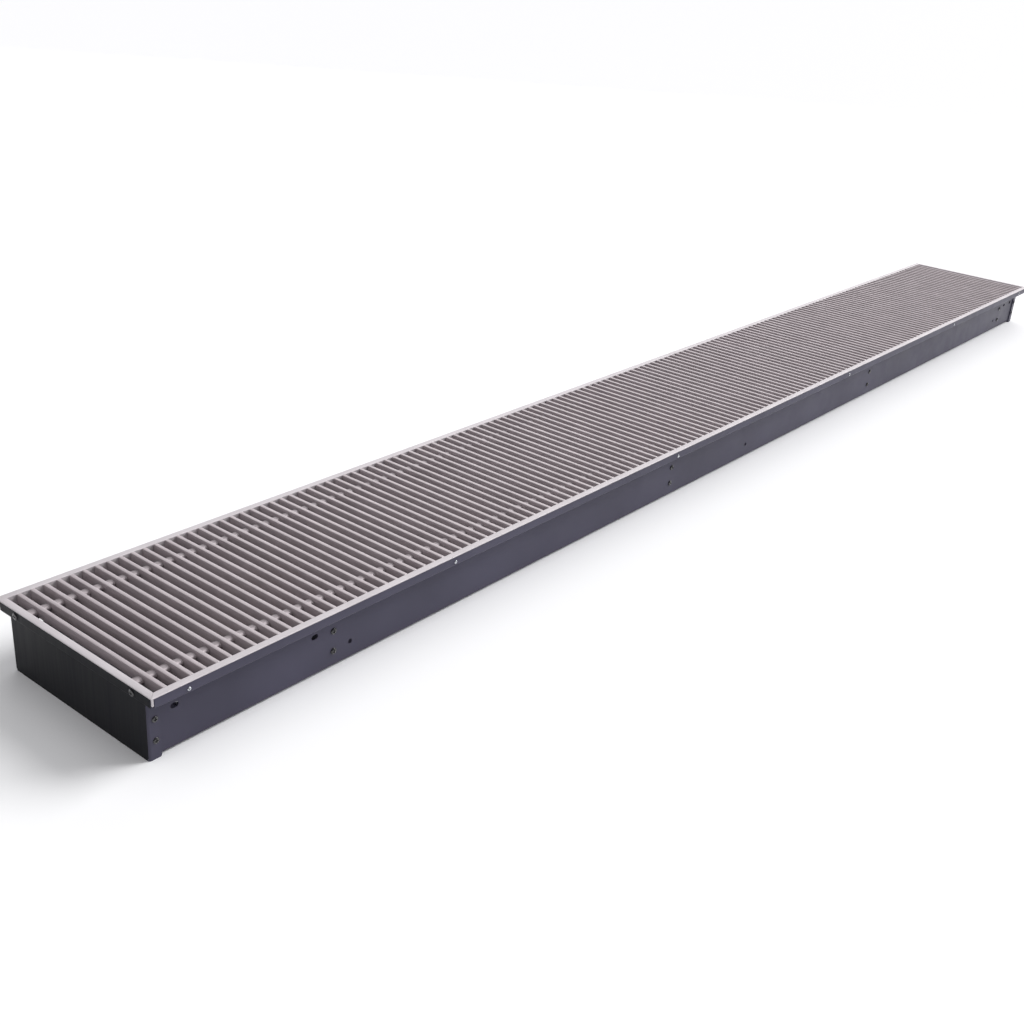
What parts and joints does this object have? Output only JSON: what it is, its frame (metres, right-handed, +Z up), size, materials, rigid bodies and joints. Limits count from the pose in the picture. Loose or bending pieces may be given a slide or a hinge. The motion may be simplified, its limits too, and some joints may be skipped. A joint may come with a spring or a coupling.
{
  "type": "trench convector heater",
  "caption": "Long floor trough with a finned-tube water heat exchanger, angle valves, light metal edge frame and a lift-out cross-bar grille.",
  "frame": {"origin": "middle of the footprint, at the level that the end caps stand on", "axes": "+X along the trough from the valve end to the bend end, +Y across it to the wall that the pipes come through, +Z up"},
  "size_m": [2.712, 0.302, 0.094],
  "materials": {
    "painted_steel": "semi-gloss anthracite paint",
    "anodised_frame": "satin natural anodised",
    "anodised_grille": "satin natural anodised",
    "galvanised_steel": "galvanised sheet",
    "zinc_steel": "bright zinc plated",
    "fin_aluminium": "mill finish sheet",
    "copper": "drawn copper",
    "nickel": "nickel plated brass",
    "rubber": "matt black rubber",
    "white_plastic": "fine-grained white plastic"
  },
  "bodies": {
    "casing": {"trough_floor": "painted_steel", "trough_side_front": "painted_steel", "trough_side_rear": "painted_steel", "end_cap_valve_side": "painted_steel", "end_cap_bend_side": "painted_steel", "frame_side_front": "anodised_frame", "frame_side_rear": "anodised_frame", "frame_end_valve_side": "anodised_frame", "frame_end_bend_side": "anodised_frame", "frame_corner_key_1": "zinc_steel", "frame_corner_key_2": "zinc_steel", "frame_corner_key_3": "zinc_steel", "frame_corner_key_4": "zinc_steel", "damping_strip_front": "rubber", "damping_strip_rear": "rubber", "cross_brace_1": "galvanised_steel", "cross_brace_2": "galvanised_steel", "cross_brace_3": "galvanised_steel", "cross_brace_4": "galvanised_steel", "fin_pack_1": "fin_aluminium", "fin_pack_2": "fin_aluminium", "fin_pack_3": "fin_aluminium", "supply_tube": "copper", "return_tube": "copper", "return_bend": "copper", "air_vent_body": "nickel", "supply_valve_body": "nickel", "lockshield_body": "nickel", "supply_union_nut": "nickel", "return_union_nut": "nickel", "supply_pipe_grommet": "rubber", "return_pipe_grommet": "rubber", "levelling_nut_1": "zinc_steel", "levelling_nut_2": "zinc_steel", "levelling_nut_3": "zinc_steel", "levelling_nut_4": "zinc_steel"},
    "grille_panel": {"grille": "anodised_grille"},
    "supply_knob": {"supply_valve_knob": "white_plastic"},
    "lockshield_cover": {"lockshield_cap": "white_plastic"},
    "lockshield_stem": {"lockshield_spindle": "nickel"},
    "vent_screw": {"air_vent_screw": "nickel"},
    "level_screw_1": {"levelling_screw_1": "zinc_steel"},
    "level_screw_2": {"levelling_screw_2": "zinc_steel"},
    "level_screw_3": {"levelling_screw_3": "zinc_steel"},
    "level_screw_4": {"levelling_screw_4": "zinc_steel"}
  },
  "joints": [
    {"name": "grille_lift", "type": "slide", "parent": "casing", "child": "grille_panel", "axis": [0, 0, 1], "range_m": [0, 0.1]},
    {"name": "supply_knob_turn", "type": "hinge", "parent": "casing", "child": "supply_knob", "pos_m": [-1.27, -0.035, 0.036], "axis": [-1, 0, 0], "range_deg": [0, 300]},
    {"name": "lockshield_cover_pull", "type": "slide", "parent": "casing", "child": "lockshield_cover", "axis": [-1, 0, 0], "range_m": [0, 0.03]},
    {"name": "lockshield_stem_turn", "type": "hinge", "parent": "casing", "child": "lockshield_stem", "pos_m": [-1.178, 0.035, 0.036], "axis": [-1, 0, 0], "range_deg": [0, 1080]},
    {"name": "vent_screw_turn", "type": "hinge", "parent": "casing", "child": "vent_screw", "pos_m": [1.2893, 0, 0.05], "axis": [0, 0, 1], "range_deg": [0, 720]},
    {"name": "level_screw_1_turn", "type": "hinge", "parent": "casing", "child": "level_screw_1", "pos_m": [-1.288, -0.1035, 0.02], "axis": [0, 0, 1], "continuous": true},
    {"name": "level_screw_2_turn", "type": "hinge", "parent": "casing", "child": "level_screw_2", "pos_m": [-1.288, 0.1035, 0.02], "axis": [0, 0, 1], "continuous": true},
    {"name": "level_screw_3_turn", "type": "hinge", "parent": "casing", "child": "level_screw_3", "pos_m": [1.288, -0.1035, 0.02], "axis": [0, 0, 1], "continuous": true},
    {"name": "level_screw_4_turn", "type": "hinge", "parent": "casing", "child": "level_screw_4", "pos_m": [1.288, 0.1035, 0.02], "axis": [0, 0, 1], "continuous": true}
  ]
}
